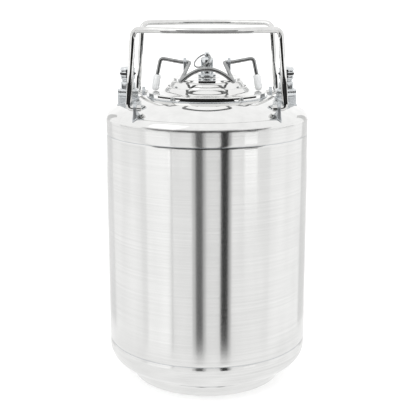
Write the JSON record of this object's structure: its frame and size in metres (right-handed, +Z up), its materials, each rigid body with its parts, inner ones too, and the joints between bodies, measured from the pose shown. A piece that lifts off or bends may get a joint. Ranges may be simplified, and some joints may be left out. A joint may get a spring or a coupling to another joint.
{
  "type": "soda keg",
  "caption": "Ball-lock stainless soda keg with two folding wire handles, a bail-locked oval lid with a relief valve, and gas and liquid posts.",
  "frame": {"origin": "centre of the foot ring's footprint on the floor", "axes": "+Z up along the tank's axis; +X from the gas post to the liquid post; -Y is the front, where the lid bail's grip points"},
  "size_m": [0.2286, 0.2286, 0.406],
  "materials": {
    "polished_steel": "mirror polished stainless steel",
    "brushed_steel": "fine circumferential brushing",
    "satin_steel": "satin stainless steel",
    "black_rubber": "moulded nitrile rubber",
    "clear_vinyl": "dipped vinyl, slightly cloudy"
  },
  "bodies": {
    "tank": {"tank_wall": "brushed_steel", "top_dome": "polished_steel", "bottom_dome": "polished_steel", "base_skirt": "polished_steel", "mouth_collar": "polished_steel", "gas_port_boss": "satin_steel", "liquid_port_boss": "satin_steel", "gas_post": "polished_steel", "liquid_post": "polished_steel", "gas_post_oring": "black_rubber", "liquid_post_oring": "black_rubber", "gas_poppet_spring": "satin_steel", "liquid_poppet_spring": "satin_steel", "gas_dip_tube": "satin_steel", "liquid_dip_tube": "satin_steel", "gas_dip_tube_oring": "black_rubber", "liquid_dip_tube_oring": "black_rubber", "front_left_lug": "satin_steel", "front_right_lug": "satin_steel", "rear_left_lug": "satin_steel", "rear_right_lug": "satin_steel"},
    "front_handle": {"front_handle": "polished_steel"},
    "rear_handle": {"rear_handle": "polished_steel"},
    "gas_poppet": {"gas_poppet": "satin_steel", "gas_poppet_seal": "black_rubber"},
    "liquid_poppet": {"liquid_poppet": "satin_steel", "liquid_poppet_seal": "black_rubber"},
    "lid": {"lid_plate": "polished_steel", "lid_oring": "black_rubber", "left_bail_ear": "satin_steel", "right_bail_ear": "satin_steel", "relief_body": "polished_steel", "relief_gasket": "black_rubber", "relief_nut": "satin_steel", "relief_spring": "satin_steel"},
    "bail": {"bail_wire": "polished_steel", "left_bail_foot": "clear_vinyl", "right_bail_foot": "clear_vinyl"},
    "relief_stem": {"relief_stem": "polished_steel"},
    "relief_ring": {"relief_ring": "polished_steel"}
  },
  "joints": [
    {"name": "front_handle_fold", "type": "hinge", "parent": "tank", "child": "front_handle", "pos_m": [0, -0.072, 0.321], "axis": [1, 0, 0], "range_deg": [-40, 116]},
    {"name": "rear_handle_fold", "type": "hinge", "parent": "tank", "child": "rear_handle", "pos_m": [0, 0.072, 0.321], "axis": [-1, 0, 0], "range_deg": [-40, 116]},
    {"name": "gas_poppet_press", "type": "slide", "parent": "tank", "child": "gas_poppet", "axis": [0, 0, -1], "range_m": [0, 0.003], "stiffness_N_per_m": 400, "springref_m": -0.002, "deforming": ["gas_poppet_spring"]},
    {"name": "liquid_poppet_press", "type": "slide", "parent": "tank", "child": "liquid_poppet", "axis": [0, 0, -1], "range_m": [0, 0.003], "stiffness_N_per_m": 400, "springref_m": -0.002, "deforming": ["liquid_poppet_spring"]},
    {"name": "bail_turn", "type": "hinge", "parent": "lid", "child": "bail", "pos_m": [0, 0, 0.363], "axis": [-1, 0, 0], "range_deg": [0, 100]},
    {"name": "lid_drop", "type": "slide", "parent": "tank", "child": "lid", "axis": [0, 0, -1], "range_m": [0, 0.0039]},
    {"name": "relief_pull", "type": "slide", "parent": "lid", "child": "relief_stem", "axis": [0, 0, 1], "range_m": [0, 0.0025], "stiffness_N_per_m": 600, "springref_m": -0.002, "deforming": ["relief_spring"]},
    {"name": "relief_ring_swing", "type": "hinge", "parent": "relief_stem", "child": "relief_ring", "pos_m": [0, 0, 0.3718], "axis": [-0.7071, 0.7071, 0], "range_deg": [0, 264]}
  ],
  "couplings": [
    {"joint": "bail_turn", "follows": "lid_drop", "rad_per_m": 436.33}
  ]
}
